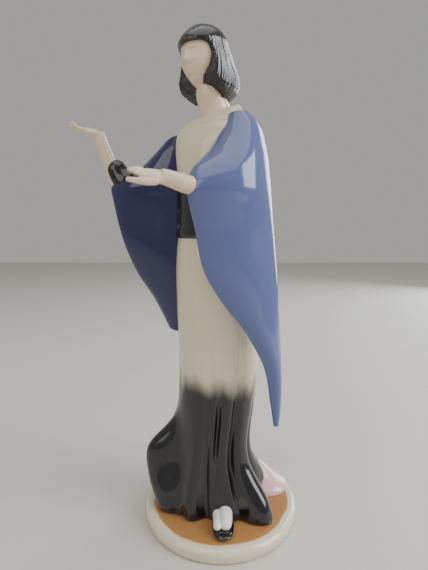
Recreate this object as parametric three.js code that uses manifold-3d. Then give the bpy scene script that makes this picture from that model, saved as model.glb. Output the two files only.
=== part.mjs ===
// A porcelain figurine of a woman in a long-sleeved kimono, on a round plinth. Millimetres, +Z up.
// The origin is the middle of the plinth's underside. -Y is the front, where her foot points.
// She turns to her right: her body faces between -Y and -X, and her head and both hands point to -X.
import * as THREE from "three";
import { mergeVertices } from "three/addons/utils/BufferGeometryUtils.js";
import Module from "manifold-3d";

const wasm = await Module();
wasm.setup();

const DEGREE = Math.PI / 180;
const UP = new THREE.Vector3(0, 0, 1);
const vector = (xyz) => new THREE.Vector3(...xyz);

// Driving dimensions.
const PLINTH_RADIUS = 50;
const PLINTH_HEIGHT = 8;
const PLINTH_EDGE = 3.2; // radius of the plinth's rounded edge
const FOOT_CHAMFER = 1;
const JOIN_GAP = 0.3; // between the plinth's top and the hem that stands on it
const FLOOR = PLINTH_HEIGHT + JOIN_GAP; // the lowest level of the cloth and the sandal

const BODY_TOP = 257;
const COLLAR_LEVEL = 246; // from here up the robe's neckline rises towards the nape
const COLLAR_SLOPE = 0.34;
const NECKLINE_BACK = vector([0.64, 0.77, 0]); // from the middle of the neck towards the nape

const HEAD_CENTRE = vector([-10, 0, 284.5]);
const HEAD_TURN = -45 * DEGREE; // from the front, towards her right
const FACE_HALF_WIDTH = 12.4;
const FACE_HALF_DEPTH = 14.6;
const FACE_HALF_HEIGHT = 18;
const CHIN_NARROWING = 0.36;
const FACE_FRONT = 6; // how far from the middle the face's features have their full reach
const NOSE = { reach: 1.9, wide: 2.2, high: 3, below: 3.5 }; // below the middle of the head
const CHIN = { reach: 1, wide: 3.5, high: 2.6, below: 13.5 };
const FRINGE_LEVEL = 4.6; // the fringe's end above the head's middle
const OPENING_WIDTH = 60;
const LOCK_COUNT = 13; // locks round the cut of the bob
const LOCK_DEPTH = 0.45;

const NECK = [[-2, 3, 247, 12], [-3.4, 2.4, 255, 9.6], [-6.4, 1, 263.5, 8.4], [-9, 0, 274, 8.6]];

const SASH_LOW = 182;
const SASH_HIGH = 208;
const SASH_PROUD = 1.6;
const KNOT_HALF = { wide: 15, deep: 7, high: 15 };
const KNOT_BACK = 20; // from the body's middle to the knot's
const BODY_TURN = -40 * DEGREE;
const BODY_MIDDLE = -7; // x of the body's middle at the sash

const FINGER_RADIUS = 1.15;
const END_ROUNDING = 0.55; // how much narrower a limb's end ring is
const SANDAL_WIDTH = 12.8;
const SANDAL_HEIGHT = 3.6;

// The body from hem to neck: height, middle x and y, half width, half depth, and turn from the front.
const BODY = [
  { z: FLOOR, x: -3, y: 0, wide: 31, deep: 27, turn: -8 },
  { z: 20, x: -4, y: 0, wide: 30, deep: 25, turn: -8 },
  { z: 42, x: -4.5, y: 0, wide: 24.7, deep: 22, turn: -10 },
  { z: 75, x: -2.7, y: 0, wide: 25.2, deep: 22, turn: -14 },
  { z: 110, x: -1.5, y: 0, wide: 26, deep: 22.5, turn: -20 },
  { z: 140, x: -3, y: 0, wide: 26, deep: 21.5, turn: -26 },
  { z: 165, x: -5, y: 0, wide: 24.5, deep: 20, turn: -32 },
  { z: 184, x: -6.5, y: 0, wide: 22, deep: 17, turn: -38 },
  { z: 200, x: -7, y: 0, wide: 21, deep: 15.5, turn: -40 },
  { z: 216, x: -7, y: 0, wide: 22.5, deep: 16, turn: -40 },
  { z: 232, x: -7, y: 0.5, wide: 26, deep: 15.5, turn: -40 },
  { z: 242, x: -6.5, y: 1.5, wide: 28.5, deep: 13.5, turn: -40 },
  { z: 248, x: -5.2, y: 2.5, wide: 25, deep: 12, turn: -40 },
  { z: 252.5, x: -4, y: 3, wide: 20.5, deep: 11.4, turn: -40 },
  { z: BODY_TOP, x: -1, y: 3.6, wide: 13, deep: 10.4, turn: -40 },
];

const TRAIN = {
  x: 22, y: 16, wide: 24.3, deep: 20, skew: 6,
  rings: [
    { reach: 1, level: 0 }, { reach: 0.96, level: 2.2 }, { reach: 0.84, level: 4.5 },
    { reach: 0.6, level: 8 }, { reach: 0.25, level: 16 },
  ],
};

// The levels of the rings of triangles between the hem and the neck.
const BODY_LEVELS = [
  FLOOR, 12, 17, 22, 27, 32, 37, 42, 48, 55, 63, 72, 82, 93, 105, 118, 132, 146, 160, 172, 184, 196, 208,
  219, 229, 237, 243, 248, 252, 255, BODY_TOP,
];

// Folds of the skirt: compass angle, spread in degrees, reach, and the height where it stands out most,
// with how far it carries down and up from there. A negative reach is a valley.
const FOLDS = [
  { angle: 182, spread: 17, reach: 19, at: 42, down: 20, up: 17 },
  { angle: 196, spread: 15, reach: 9, at: 22, down: 20, up: 16 },
  { angle: 212, spread: 13, reach: 7, at: 12, down: 30, up: 18 },
  { angle: 240, spread: 11, reach: 4, at: 10, down: 30, up: 30 },
  { angle: 256, spread: 7, reach: -3, at: 30, down: 60, up: 60 },
  { angle: 271, spread: 5, reach: -3.2, at: 62, down: 34, up: 34 },
  { angle: 297, spread: 6, reach: -4.2, at: 45, down: 60, up: 46 },
  { angle: 317, spread: 19, reach: 14.5, at: 10, down: 40, up: 24 },
  { angle: 345, spread: 12, reach: -5.5, at: 46, down: 34, up: 30 },
  { angle: 20, spread: 14, reach: 7, at: 8, down: 30, up: 26 },
  { angle: 62, spread: 20, reach: 10, at: 8, down: 30, up: 22 },
  { angle: 105, spread: 16, reach: 6, at: 8, down: 30, up: 40 },
  { angle: 140, spread: 15, reach: 8, at: 8, down: 30, up: 30 },
];

const SLEEVE_FULLNESS = 0.7; // below 1 a sleeve keeps its thickness nearer to its edges

// The sleeves from the shoulder to the tip: the front edge, the back edge, thickness and outward bulge.
const LEFT_SLEEVE = [
  { front: [3, -9, 250.5], back: [15.5, -9, 252], thick: 12, bulge: 2 },
  { front: [-1, -14, 241], back: [22, -11, 243], thick: 16, bulge: 3 },
  { front: [-7, -24, 229], back: [24.5, -13, 231], thick: 18, bulge: 5 },
  { front: [-15, -35, 218], back: [26, -15, 220], thick: 16, bulge: 7 },
  { front: [-18.5, -40, 209], back: [27, -17, 208], thick: 15, bulge: 7 },
  { front: [-17.5, -40, 200], back: [28, -19, 196], thick: 12, bulge: 6 },
  { front: [-14.5, -38, 186], back: [29.5, -20, 182], thick: 9, bulge: 6 },
  { front: [-10, -36, 164], back: [31.5, -21.5, 160], thick: 8, bulge: 6 },
  { front: [0, -34, 146], back: [32.8, -23, 141], thick: 7, bulge: 5 },
  { front: [13, -32, 129], back: [33.8, -24, 124], thick: 6.5, bulge: 4 },
  { front: [24.5, -30, 107], back: [34.4, -25.5, 105], thick: 6, bulge: 2.5 },
  { front: [28.6, -28.5, 85], back: [34.6, -27, 86], thick: 5, bulge: 1.2 },
  { front: [30.5, -28, 72], back: [33.6, -27.6, 72.5], thick: 3.6, bulge: 0.6 },
];
const RIGHT_SLEEVE = [
  { front: [-35, 17, 238.5], back: [-22, 8, 244], thick: 11, bulge: 1 },
  { front: [-46, 21, 229], back: [-22, 6, 234], thick: 14, bulge: 2 },
  { front: [-58, 23, 220], back: [-22, 5, 224], thick: 15, bulge: 2 },
  { front: [-71, 22, 215], back: [-23, 5, 212], thick: 12, bulge: 2 },
  { front: [-70.5, 20, 204], back: [-24, 5, 198], thick: 8, bulge: 2 },
  { front: [-64.5, 18, 179], back: [-25, 4, 175], thick: 6.5, bulge: 2 },
  { front: [-55.5, 16, 158], back: [-25, 4, 152], thick: 6, bulge: 1.5 },
  { front: [-44, 14, 141], back: [-25, 4, 134], thick: 6, bulge: 1 },
  { front: [-34, 12, 122], back: [-26, 6, 120], thick: 5, bulge: 0.5 },
];

// Each arm: points of the forearm from the elbow to the wrist, and of the palm, each with its radius;
// the way the palm faces; how flat the palm is; and the middle line of every finger and of the thumb.
const LEFT_ARM = {
  forearm: [
    [16, -25, 202, 6.2], [-4, -34, 205.2, 5.4], [-19, -41, 208.9, 4.8], [-27.5, -44.7, 211.4, 4.1],
    [-31, -46, 211.9, 4],
  ],
  palm: [[-27, -44.4, 211.4, 4.2], [-32, -46.5, 211.7, 4.4], [-36.5, -48.4, 212, 4.4], [-40.5, -50, 213, 3.5]],
  faces: [0.2, -0.62, 0.76],
  flat: 0.72,
  fingers: [
    [[-38, -49.4, 214.3], [-41.8, -50.4, 215.1], [-45, -51, 214.9]],
    [[-38, -50, 213.5], [-42, -51.4, 214.5], [-46, -52.4, 214.4]],
    [[-38, -50.6, 212.7], [-41.6, -52.2, 213.5], [-44.9, -53.8, 213.8]],
    [[-37.6, -51.2, 211.9], [-40.4, -52.8, 212.6], [-43, -54.6, 213.2]],
  ],
  thumb: [[-31, -48.4, 209.6], [-36, -51, 208.9], [-41, -53, 209.2], [-46.4, -54.2, 209.8]],
};
const RIGHT_ARM = {
  forearm: [
    [-65, 23, 206, 5.2], [-70, 22.4, 220.5, 4.8], [-74.8, 21.2, 234.5, 4.4], [-77.8, 20.2, 243.6, 3.9],
    [-79.2, 19.9, 248.6, 3.6],
  ],
  palm: [[-77.6, 20, 245, 4.6], [-80.8, 19.8, 247, 4.5], [-84.6, 19.2, 247.8, 4.5], [-89.4, 18.2, 248.9, 3.8]],
  faces: [0.16, -0.1, 0.98],
  flat: 0.66,
  fingers: [
    [[-85.5, 20.8, 248.6], [-91.6, 21, 249.6], [-95.4, 20.2, 252.4]],
    [[-86, 19.4, 248.6], [-92.3, 18.8, 249.4], [-96.8, 17.6, 252.6]],
    [[-86, 17.8, 248.6], [-92, 16.6, 249.6], [-96, 15.2, 253.2]],
    [[-85, 16.4, 248.4], [-90.4, 14.4, 249.8], [-93.4, 13, 252.8]],
  ],
  thumb: [[-79.6, 22.6, 248.2], [-82.8, 24.6, 249], [-86, 25.6, 249.6], [-89, 26, 250]],
};
const RIGHT_CUFF = [[-57.5, 22, 212, 11], [-66, 21.6, 221, 7.2], [-70.6, 21, 230.6, 5.8]];

// The bob in rings round the head: level from the head's middle, half width, reach forwards and back.
const HAIR = [
  { level: -22.6, wide: 12.4, front: 8, back: 16 },
  { level: -18, wide: 16.6, front: 12, back: 21.6 },
  { level: -12.3, wide: 17.4, front: 14, back: 24 },
  { level: -6.6, wide: 16.6, front: 15, back: 22 },
  { level: 0.5, wide: 15, front: 15.6, back: 18.4 },
  { level: 4.7, wide: 14, front: 16.4, back: 16.2 },
  { level: 8.5, wide: 13.2, front: 15.2, back: 14.2 },
  { level: 12.8, wide: 10.8, front: 11.5, back: 11.4 },
  { level: 15.8, wide: 6.8, front: 7.5, back: 7 },
  { level: 17, wide: 2, front: 3, back: 2 },
];

// The edge of what shows the face, seen from the side: forwards is negative, then the level.
const FACE_OPENING = [
  [-40, FRINGE_LEVEL], [-10, FRINGE_LEVEL], [-7.4, FRINGE_LEVEL - 1.4], [-5.6, -1], [-5.4, -7],
  [-6.6, -12], [-4.6, -15.6], [-0.5, -18.4], [3.5, -21.6], [4.5, -26], [-40, -26],
];

// A closed geometry as a solid that can be joined and cut.
function solid(geometry) {
  const bare = geometry.clone();
  bare.deleteAttribute("normal");
  bare.deleteAttribute("uv");
  const merged = mergeVertices(bare, 1e-4);
  const triVerts = new Uint32Array(merged.index.array);
  const vertProperties = merged.attributes.position.array;
  const made = new wasm.Manifold(new wasm.Mesh({ numProp: 3, vertProperties, triVerts }));
  if (made.volume() > 0) return made;
  for (let i = 0; i < triVerts.length; i += 3) triVerts.subarray(i, i + 2).reverse();
  return new wasm.Manifold(new wasm.Mesh({ numProp: 3, vertProperties, triVerts }));
}

function meshOf(name, made, material) {
  const { numProp, vertProperties, triVerts } = made.getMesh();
  const geometry = new THREE.BufferGeometry();
  geometry.setAttribute("position", new THREE.BufferAttribute(new Float32Array(vertProperties), numProp));
  geometry.setIndex([...triVerts]);
  geometry.computeVertexNormals();
  const mesh = new THREE.Mesh(geometry, material);
  mesh.name = name;
  return mesh;
}

// A capped tube whose rings are placed by a function of share along (0 to 1), angle and share outwards.
function loft(around, along, place) {
  const geometry = new THREE.CylinderGeometry(1, 1, 1, around, along);
  const position = geometry.attributes.position;
  for (let i = 0; i < position.count; i++) {
    const [x, y, z] = [position.getX(i), position.getY(i), position.getZ(i)];
    const angle = Math.round((Math.atan2(z, x) / (2 * Math.PI)) * around) / around;
    const share = Math.round((y + 0.5) * along) / along;
    const p = place(share, angle * 2 * Math.PI, Math.round(Math.hypot(x, z)));
    position.setXYZ(i, p.x, p.y, p.z);
  }
  return solid(geometry);
}

// The value at t of a smooth line through evenly or unevenly spaced keys.
function smoothAt(keys, values, t) {
  const last = keys.length - 1;
  if (t <= keys[0]) return values[0];
  if (t >= keys[last]) return values[last];
  let i = 0;
  while (t > keys[i + 1]) i++;
  const slope = (a, b) => (values[b] - values[a]) / (keys[b] - keys[a]);
  const span = keys[i + 1] - keys[i];
  const start = i > 0 ? slope(i - 1, i + 1) : slope(0, 1);
  const end = i + 2 <= last ? slope(i, i + 2) : slope(last - 1, last);
  const u = (t - keys[i]) / span;
  const [u2, u3] = [u * u, u * u * u];
  return (
    (2 * u3 - 3 * u2 + 1) * values[i] + (u3 - 2 * u2 + u) * span * start +
    (3 * u2 - 2 * u3) * values[i + 1] + (u3 - u2) * span * end
  );
}

const evenKeys = (rows) => rows.map((row, i) => i / (rows.length - 1));
const smoothKey = (rows, keys, name, t) => smoothAt(keys, rows.map((row) => row[name]), t);

function smoothPoint(rows, keys, name, t) {
  const [x, y, z] = [0, 1, 2].map((axis) => smoothAt(keys, rows.map((row) => row[name][axis]), t));
  return new THREE.Vector3(x, y, z);
}

// How far the folds push the skirt outwards at a height and compass angle.
function foldReach(z, compass) {
  let reach = 0;
  for (const fold of FOLDS) {
    const off = ((compass - fold.angle + 540) % 360) - 180;
    const height = z < fold.at ? (fold.at - z) / fold.down : (z - fold.at) / fold.up;
    reach += fold.reach * Math.exp(-((off / fold.spread) ** 2)) * Math.exp(-height * height);
  }
  return reach;
}

// The body's oval at a level, as a function of the angle round it, standing a little outside by an allowance.
function bodyRing(z, allowance) {
  const keys = BODY.map((row) => row.z);
  const at = (name) => smoothKey(BODY, keys, name, z);
  const middle = new THREE.Vector3(at("x"), at("y"), z);
  const [wide, deep, turn] = [at("wide") + allowance, at("deep") + allowance, at("turn")];
  return (angle, out, folded) => {
    const reach = folded ? foldReach(z, (((angle / DEGREE + turn) % 360) + 360) % 360) : 0;
    const p = new THREE.Vector3((wide + reach) * Math.cos(angle), (deep + reach) * Math.sin(angle), 0);
    return p.multiplyScalar(out).applyAxisAngle(UP, turn * DEGREE).add(middle);
  };
}

// The dressed body, its top cut aslant so that the neckline is high at the nape.
function body() {
  return loft(48, BODY_LEVELS.length - 1, (share, angle, out) => {
    const z = BODY_LEVELS[Math.round(share * (BODY_LEVELS.length - 1))];
    const p = bodyRing(z, 0)(angle, out, true);
    const slant = Math.max(0, (z - COLLAR_LEVEL) / (BODY_TOP - COLLAR_LEVEL)) * COLLAR_SLOPE;
    p.z += slant * (p.x * NECKLINE_BACK.x + p.y * NECKLINE_BACK.y);
    return p;
  });
}

// A hanging sleeve: each ring is a rounded strip from the front edge to the back edge, bulging outwards.
function sleeve(rows, around, along, outward) {
  const keys = evenKeys(rows);
  return loft(around, along, (share, angle, out) => {
    const front = smoothPoint(rows, keys, "front", share);
    const back = smoothPoint(rows, keys, "back", share);
    const thick = smoothKey(rows, keys, "thick", share);
    const bulge = smoothKey(rows, keys, "bulge", share);
    const across = back.clone().sub(front);
    const normal = new THREE.Vector3(across.y, -across.x, 0).normalize().multiplyScalar(outward);
    const step = 0.5 - 0.5 * Math.cos(angle) * out;
    const rounded = Math.sign(Math.sin(angle)) * Math.abs(Math.sin(angle)) ** SLEEVE_FULLNESS * out;
    const arch = Math.sin(Math.PI * step) * bulge;
    return front.addScaledVector(across, step).addScaledVector(normal, arch + (rounded * thick) / 2);
  });
}

// A tube through points that each end in a radius, its ends rounded off. The tube may be flat across one way.
function limb(rows, around, along, flat = 1, flatWay = UP) {
  const curve = new THREE.CatmullRomCurve3(rows.map(([x, y, z]) => new THREE.Vector3(x, y, z)));
  const keys = evenKeys(rows);
  const radii = rows.map((row) => row[3]);
  return loft(around, along, (share, angle, out) => {
    const ahead = curve.getTangent(share);
    const side = new THREE.Vector3().crossVectors(flatWay, ahead).normalize();
    const up = new THREE.Vector3().crossVectors(ahead, side);
    const dome = Math.min(share, 1 - share) * along < 0.5 ? END_ROUNDING : 1;
    const radius = smoothAt(keys, radii, share) * dome * out;
    const p = curve.getPoint(share).addScaledVector(side, radius * Math.cos(angle));
    return p.addScaledVector(up, radius * flat * Math.sin(angle));
  });
}

function arm({ forearm, palm, faces, flat, fingers, thumb }) {
  const taper = [1.1, 1, 0.75].map((part) => part * FINGER_RADIUS);
  const finger = (line) => limb(line.map((point, i) => [...point, taper[i]]), 6, 4);
  const thumbTaper = [1.9, 1.7, 1.4, 0.85].map((part) => part * FINGER_RADIUS);
  const pieces = [
    limb(palm, 10, 5, flat, vector(faces).normalize()),
    limb(thumb.map((point, i) => [...point, thumbTaper[i]]), 6, 5),
    ...fingers.map(finger),
  ];
  return pieces.reduce((all, piece) => all.add(piece), limb(forearm, 10, 6));
}

// A ball stretched to three half sizes and turned with the head, its points moved by a function.
function headForm(around, along, half, change) {
  const geometry = new THREE.SphereGeometry(1, around, along);
  geometry.rotateX(90 * DEGREE);
  const position = geometry.attributes.position;
  const p = new THREE.Vector3();
  for (let i = 0; i < position.count; i++) {
    p.fromBufferAttribute(position, i).multiply(half);
    change(p);
    p.applyAxisAngle(new THREE.Vector3(0, 0, 1), HEAD_TURN).add(HEAD_CENTRE);
    position.setXYZ(i, p.x, p.y, p.z);
  }
  return solid(geometry);
}

const hump = (off, spread) => Math.exp(-((off / spread) ** 2));

function face() {
  const half = new THREE.Vector3(FACE_HALF_WIDTH, FACE_HALF_DEPTH, FACE_HALF_HEIGHT);
  return headForm(22, 16, half, (p) => {
    const low = Math.max(0, -p.z / FACE_HALF_HEIGHT);
    p.x *= 1 - CHIN_NARROWING * low ** 1.6;
    const front = Math.min(1, Math.max(0, -p.y / FACE_FRONT));
    for (const { reach, wide, high, below } of [NOSE, CHIN]) {
      p.y -= front * reach * hump(p.x, wide) * hump(p.z + below, high);
    }
  });
}

function hair() {
  const levels = HAIR.map((row) => row.level);
  const cap = loft(39, 15, (share, angle, out) => {
    const level = levels[0] + (levels.at(-1) - levels[0]) * Math.sin((share * Math.PI) / 2);
    const [wide, front, back] = ["wide", "front", "back"].map((n) => smoothKey(HAIR, levels, n, level));
    const reach = Math.sin(angle) > 0 ? back : front;
    const locks = 1 + (LOCK_DEPTH * Math.cos(LOCK_COUNT * angle) * (1 - share)) / wide;
    const p = new THREE.Vector3(wide * Math.cos(angle), reach * Math.sin(angle), 0);
    return p.multiplyScalar(locks * out).setZ(level).applyAxisAngle(UP, HEAD_TURN).add(HEAD_CENTRE);
  });
  const opening = new THREE.Shape(FACE_OPENING.map(([y, level]) => new THREE.Vector2(y, level)));
  const cut = new THREE.ExtrudeGeometry(opening, { depth: OPENING_WIDTH, bevelEnabled: false });
  cut.translate(0, 0, -OPENING_WIDTH / 2).rotateX(90 * DEGREE).rotateZ(90 * DEGREE).rotateZ(HEAD_TURN);
  cut.translate(HEAD_CENTRE.x, HEAD_CENTRE.y, HEAD_CENTRE.z);
  return cap.subtract(solid(cut));
}

function sash() {
  return loft(28, 3, (share, angle, out) => {
    const z = SASH_LOW + (SASH_HIGH - SASH_LOW) * share;
    const proud = share > 0 && share < 1 ? SASH_PROUD : SASH_PROUD / 2;
    return bodyRing(z, proud)(angle, out, false);
  });
}

// The flat folded knot of the sash, at the middle of her back: a ball with its sides squared off.
function sashKnot() {
  const knot = new THREE.SphereGeometry(1, 16, 10);
  const position = knot.attributes.position;
  const squared = (v, power) => Math.sign(v) * Math.abs(v) ** power;
  for (let i = 0; i < position.count; i++) {
    const x = KNOT_HALF.wide * squared(position.getX(i), 0.55);
    const y = KNOT_HALF.deep * squared(position.getZ(i), 0.7);
    const z = KNOT_HALF.high * squared(position.getY(i), 0.55);
    position.setXYZ(i, x, y, z);
  }
  knot.translate(0, KNOT_BACK, 0).rotateZ(BODY_TURN).translate(BODY_MIDDLE, 0, (SASH_LOW + SASH_HIGH) / 2);
  return solid(knot);
}

function sandalAndFoot() {
  const level = FLOOR + SANDAL_HEIGHT / 2;
  const half = SANDAL_WIDTH / 2;
  const sole = limb(
    [[1, -22, level, half], [1.1, -32, level, half], [1.1, -43.4, level, half * 0.8]],
    12, 6, SANDAL_HEIGHT / SANDAL_WIDTH,
  );
  const foot = limb(
    [[1, -20, FLOOR + 7.4, 5.6], [1.1, -30, FLOOR + 5.8, 5.4], [1.1, -38.5, FLOOR + 4, 4.4]], 12, 5, 0.75,
  );
  return sole.add(foot);
}

// The train of the robe, spread from her back over the plinth to its edge.
function train() {
  const { x, y, wide, deep, skew, rings } = TRAIN;
  return loft(20, rings.length - 1, (share, angle, out) => {
    const { reach, level } = rings[Math.round(share * (rings.length - 1))];
    const p = new THREE.Vector3(wide * Math.cos(angle) - skew * Math.sin(angle), deep * Math.sin(angle), 0);
    return p.multiplyScalar(reach * out).add(new THREE.Vector3(x, y, FLOOR + level));
  });
}

function figure() {
  const parts = [
    sleeve(LEFT_SLEEVE, 22, 24, 1), sleeve(RIGHT_SLEEVE, 18, 18, 1), arm(LEFT_ARM), arm(RIGHT_ARM),
    limb(RIGHT_CUFF, 14, 5), limb(NECK, 16, 7), face(), hair(), sash(), sashKnot(), sandalAndFoot(), train(),
  ];
  return parts.reduce((all, part) => all.add(part), body());
}

function plinth() {
  const middle = PLINTH_RADIUS - PLINTH_EDGE;
  const foot = PLINTH_RADIUS - FOOT_CHAMFER;
  const profile = [[0, 0], [foot, 0], [PLINTH_RADIUS, FOOT_CHAMFER]].map(([x, y]) => new THREE.Vector2(x, y));
  for (let step = 0; step <= 4; step++) {
    const angle = (step / 4) * 90 * DEGREE;
    const level = PLINTH_HEIGHT - PLINTH_EDGE + PLINTH_EDGE * Math.sin(angle);
    profile.push(new THREE.Vector2(middle + PLINTH_EDGE * Math.cos(angle), level));
  }
  profile.push(new THREE.Vector2(0, PLINTH_HEIGHT));
  return solid(new THREE.LatheGeometry(profile, 48).rotateX(90 * DEGREE));
}

const glaze = (color) => new THREE.MeshStandardMaterial({ color, roughness: 0.12, metalness: 0 });

const figurine = new THREE.Group();
figurine.add(meshOf("figure", figure(), glaze(0xd9cdb8)));
figurine.add(meshOf("plinth", plinth(), glaze(0xb98a55)));

export default figurine;
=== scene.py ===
"""A glazed porcelain lady in a flowered kimono, on a round plinth. Blender 4.5.

Objects are in metres, in the CAD model's frame: the origin is the middle of the plinth's underside,
+Z up, -Y the front. Tables and shape functions below are in millimetres. A motif that is placed by a
pixel is laid on the surface that the pixel's line of sight meets, and keeps its size there.
"""
import math
import random

import bmesh
import bpy
import numpy as np
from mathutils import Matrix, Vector
from mathutils.bvhtree import BVHTree


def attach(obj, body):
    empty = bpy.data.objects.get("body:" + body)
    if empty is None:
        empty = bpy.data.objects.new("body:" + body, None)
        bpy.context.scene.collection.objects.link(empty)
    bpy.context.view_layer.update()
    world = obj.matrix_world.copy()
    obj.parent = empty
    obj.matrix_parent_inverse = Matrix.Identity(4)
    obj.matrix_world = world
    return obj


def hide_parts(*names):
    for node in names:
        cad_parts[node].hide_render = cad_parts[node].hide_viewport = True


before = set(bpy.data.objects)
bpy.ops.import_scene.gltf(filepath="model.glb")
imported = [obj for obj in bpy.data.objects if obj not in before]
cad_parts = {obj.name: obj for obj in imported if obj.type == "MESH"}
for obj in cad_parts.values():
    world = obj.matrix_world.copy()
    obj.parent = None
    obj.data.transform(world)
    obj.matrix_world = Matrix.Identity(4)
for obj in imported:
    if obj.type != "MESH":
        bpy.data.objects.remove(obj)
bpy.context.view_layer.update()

MM = 0.001
FLOOR = 8.3  # lowest level of the cloth, just over the plinth's top
PLINTH = {"radius": 50.0, "height": 8.0, "edge": 3.2, "chamfer": 1.0}
UP = np.array([0.0, 0.0, 1.0])

# ---------------------------------------------------------------- tables of the figure's form

# height, middle x, middle y, half width, half depth, turn from the front in degrees
BODY = np.array([
    (8.3, -3, 0, 31, 27, -8), (20, -4, 0, 30, 25, -8), (42, -4.5, 0, 24.7, 22, -10),
    (75, -2.7, 0, 25.2, 22, -14), (110, -1.5, 0, 26, 22.5, -20), (140, -3, 0, 26, 21.5, -26),
    (165, -5, 0, 24.5, 20, -32), (184, -6.5, 0, 22, 17, -38), (200, -7, 0, 21, 15.5, -40),
    (216, -7, 0, 22.5, 16, -40), (232, -7, 0.5, 26, 15.5, -40), (242, -6.5, 1.5, 28.5, 13.5, -40),
    (248, -5.2, 2.5, 25, 12, -40), (252.5, -4, 3, 20.5, 11.4, -40), (257, -1, 3.6, 13, 10.4, -40),
])
BODY_TOP = 257.0
COLLAR_LEVEL = 246.0
COLLAR_SLOPE = 0.34
NECKLINE_BACK = np.array([0.64, 0.77])

# compass angle, spread, reach, height of most reach, how far it carries down and up
FOLDS = np.array([
    (182, 17, 19, 42, 20, 17), (196, 15, 9, 22, 20, 16), (212, 13, 7, 12, 30, 18),
    (240, 11, 4, 10, 30, 30), (256, 7, -3, 30, 60, 60), (271, 5, -3.2, 62, 34, 34),
    (297, 6, -4.2, 45, 60, 46), (317, 19, 14.5, 10, 40, 24), (345, 12, -5.5, 46, 34, 30),
    (20, 14, 7, 8, 30, 26), (62, 20, 10, 8, 30, 22), (105, 16, 6, 8, 30, 40), (140, 15, 8, 8, 30, 30),
])

# front edge x y z, back edge x y z, thickness, outward bulge, from the shoulder to the tip
LEFT_SLEEVE = np.array([
    (3, -9, 250.5, 15.5, -9, 252, 12, 2), (-1, -14, 241, 22, -11, 243, 16, 3),
    (-7, -24, 229, 24.5, -13, 231, 18, 5), (-15, -35, 218, 26, -15, 220, 16, 7),
    (-18.5, -40, 209, 27, -17, 208, 15, 7), (-17.5, -40, 200, 28, -19, 196, 12, 6),
    (-14.5, -38, 186, 29.5, -20, 182, 9, 6), (-10, -36, 164, 31.5, -21.5, 160, 8, 6),
    (0, -34, 146, 32.8, -23, 141, 7, 5), (13, -32, 129, 33.8, -24, 124, 6.5, 4),
    (24.5, -30, 107, 34.4, -25.5, 105, 6, 2.5), (28.6, -28.5, 85, 34.6, -27, 86, 5, 1.2),
    (30.5, -28, 72, 33.6, -27.6, 72.5, 3.6, 0.6),
])
RIGHT_SLEEVE = np.array([
    (-35, 17, 238.5, -22, 8, 244, 11, 1), (-46, 21, 229, -22, 6, 234, 14, 2),
    (-58, 23, 220, -22, 5, 224, 15, 2), (-71, 22, 215, -23, 5, 212, 12, 2),
    (-70.5, 20, 204, -24, 5, 198, 8, 2), (-64.5, 18, 179, -25, 4, 175, 6.5, 2),
    (-55.5, 16, 158, -25, 4, 152, 6, 1.5), (-44, 14, 141, -25, 4, 134, 6, 1),
    (-34, 12, 122, -26, 6, 120, 5, 0.5),
])
SLEEVE_FULLNESS = 0.7

# x, y, z and radius along each limb
NECK = [(-2, 3, 247, 12), (-3.4, 2.4, 255, 9.6), (-6.4, 1, 263.5, 8.4), (-9, 0, 274, 8.6)]
RIGHT_CUFF = [(-57.5, 22, 212, 11), (-66, 21.6, 221, 7.2), (-70.6, 21, 230.6, 5.8)]
LEFT_ARM = {
    "forearm": [(16, -25, 202, 6.2), (-4, -34, 205.2, 5.4), (-19, -41, 208.9, 4.8),
                (-27.5, -44.7, 211.4, 4.1), (-31, -46, 211.9, 4)],
    "palm": [(-27, -44.4, 211.4, 4.2), (-32, -46.5, 211.7, 4.4), (-36.5, -48.4, 212, 4.4),
             (-40.5, -50, 213, 3.5)],
    "faces": (0.2, -0.62, 0.76), "flat": 0.72,
    "fingers": [[(-38, -49.4, 214.3), (-41.8, -50.4, 215.1), (-45, -51, 214.9)],
                [(-38, -50, 213.5), (-42, -51.4, 214.5), (-46, -52.4, 214.4)],
                [(-38, -50.6, 212.7), (-41.6, -52.2, 213.5), (-44.9, -53.8, 213.8)],
                [(-37.6, -51.2, 211.9), (-40.4, -52.8, 212.6), (-43, -54.6, 213.2)]],
    "thumb": [(-31, -48.4, 209.6), (-36, -51, 208.9), (-41, -53, 209.2), (-46.4, -54.2, 209.8)],
}
RIGHT_ARM = {
    "forearm": [(-65, 23, 206, 5.2), (-70, 22.4, 220.5, 4.8), (-74.8, 21.2, 234.5, 4.4),
                (-77.8, 20.2, 243.6, 3.9), (-79.2, 19.9, 248.6, 3.6)],
    "palm": [(-77.6, 20, 245, 4.6), (-80.8, 19.8, 247, 4.5), (-84.6, 19.2, 247.8, 4.5),
             (-89.4, 18.2, 248.9, 3.8)],
    "faces": (0.16, -0.1, 0.98), "flat": 0.66,
    "fingers": [[(-85.5, 20.8, 248.6), (-91.6, 21, 249.6), (-95.4, 20.2, 252.4)],
                [(-86, 19.4, 248.6), (-92.3, 18.8, 249.4), (-96.8, 17.6, 252.6)],
                [(-86, 17.8, 248.6), (-92, 16.6, 249.6), (-96, 15.2, 253.2)],
                [(-85, 16.4, 248.4), (-90.4, 14.4, 249.8), (-93.4, 13, 252.8)]],
    "thumb": [(-79.6, 22.6, 248.2), (-82.8, 24.6, 249), (-86, 25.6, 249.6), (-89, 26, 250)],
}
FINGER_RADIUS = 1.15

HEAD_CENTRE = np.array([-10.0, 0.0, 284.5])
HEAD_TURN = math.radians(-45)
FACE_HALF = np.array([12.4, 14.6, 18.0])
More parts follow.
